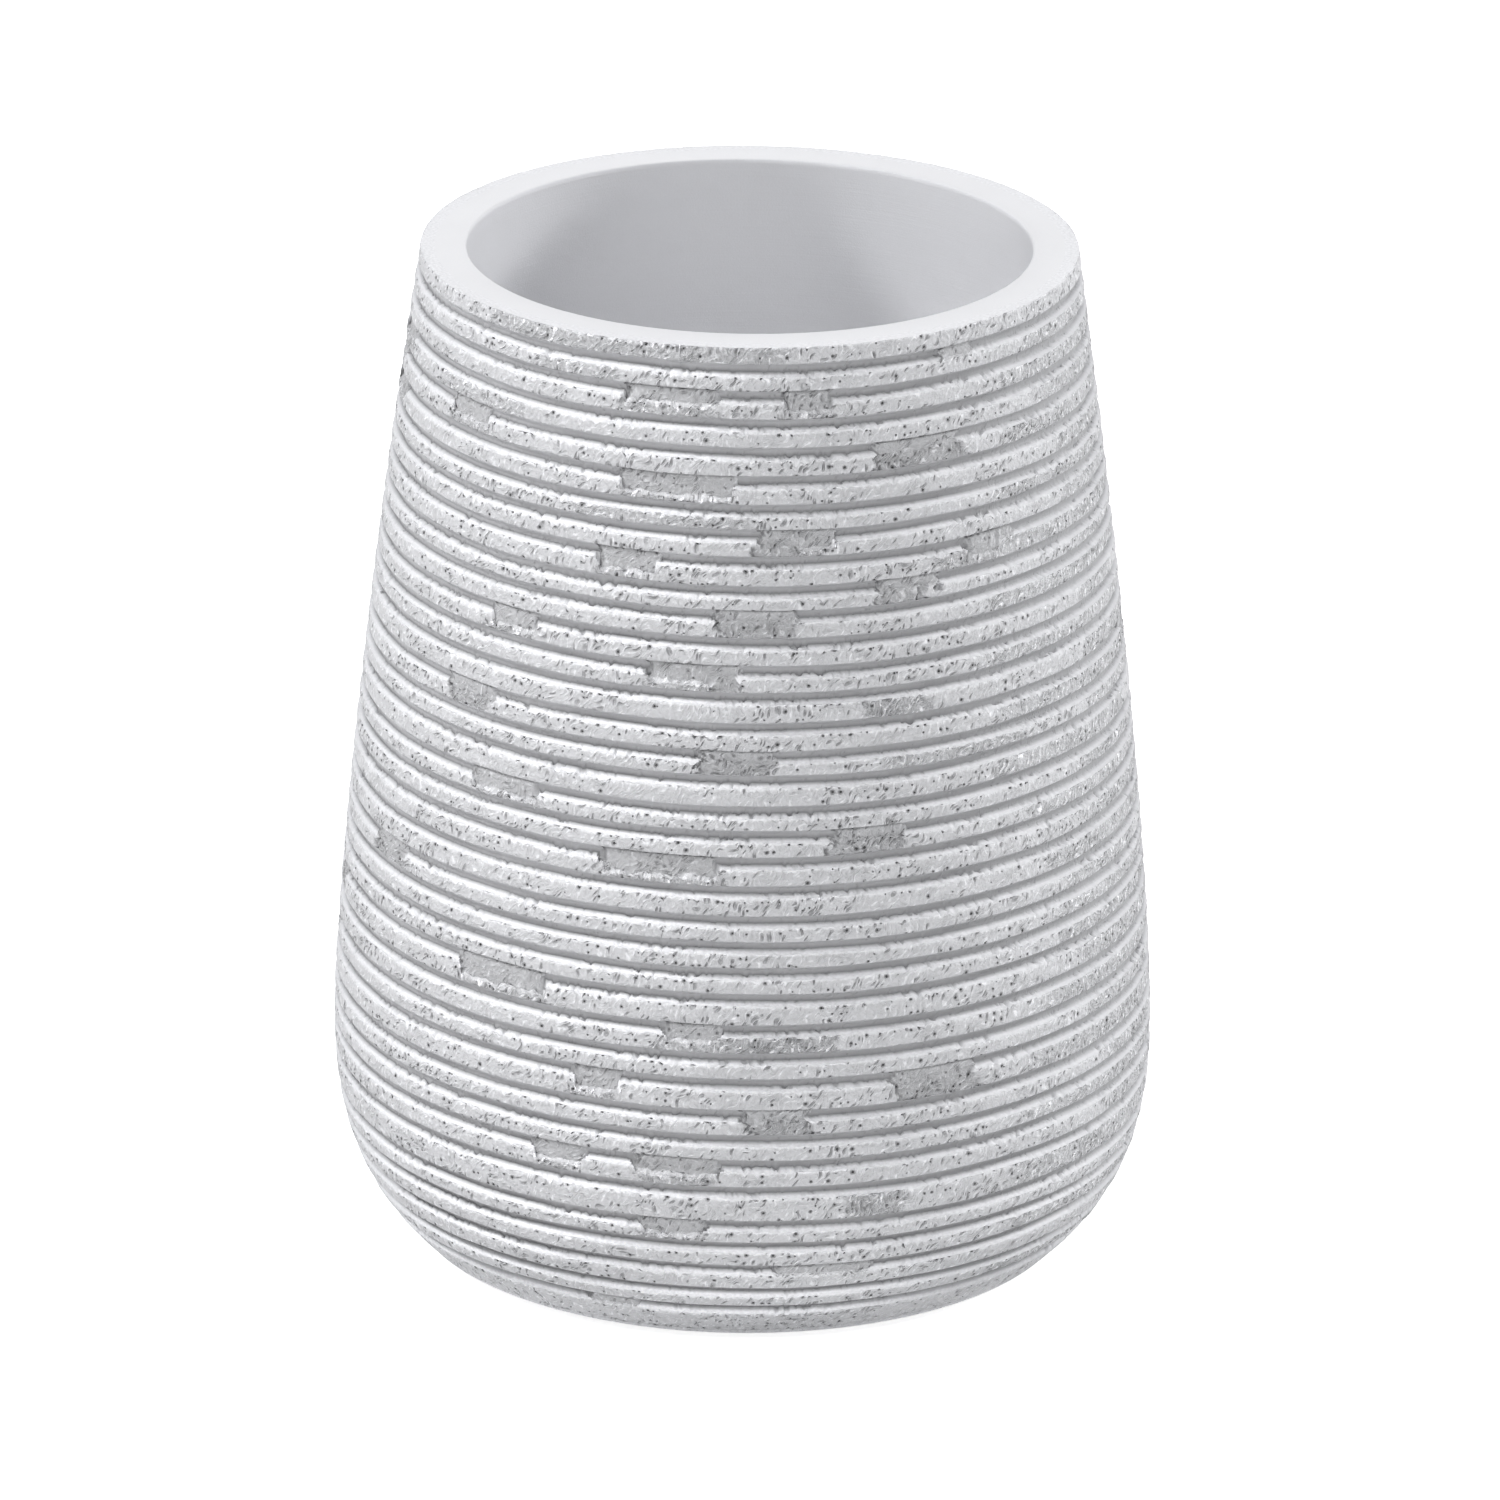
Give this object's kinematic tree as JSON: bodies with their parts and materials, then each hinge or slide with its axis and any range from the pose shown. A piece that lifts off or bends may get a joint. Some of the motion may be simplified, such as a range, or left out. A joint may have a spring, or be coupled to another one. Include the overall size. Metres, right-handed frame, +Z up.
{
  "type": "toothbrush holder",
  "caption": "Open tapered tumbler of white cast resin with a horizontally combed outside and a smooth rim, standing on soft bumper feet. Holds toothbrushes upright.",
  "frame": {"origin": "on the surface that the feet stand on, on the axis of the cup", "axes": "+Z up along the axis of the cup, -Y towards the picture's viewer, +X to the viewer's right"},
  "size_m": [0.084, 0.084, 0.1056],
  "materials": {
    "white_resin": "matt white cast resin with a stone filler, combed and pitted outside, smooth inside and at the rim",
    "bumper_plastic": "soft milky bumper plastic, satin"
  },
  "bodies": {
    "root": {"cup": "white_resin", "foot_front_left": "bumper_plastic", "foot_front_right": "bumper_plastic", "foot_back_right": "bumper_plastic", "foot_back_left": "bumper_plastic"}
  },
  "joints": []
}
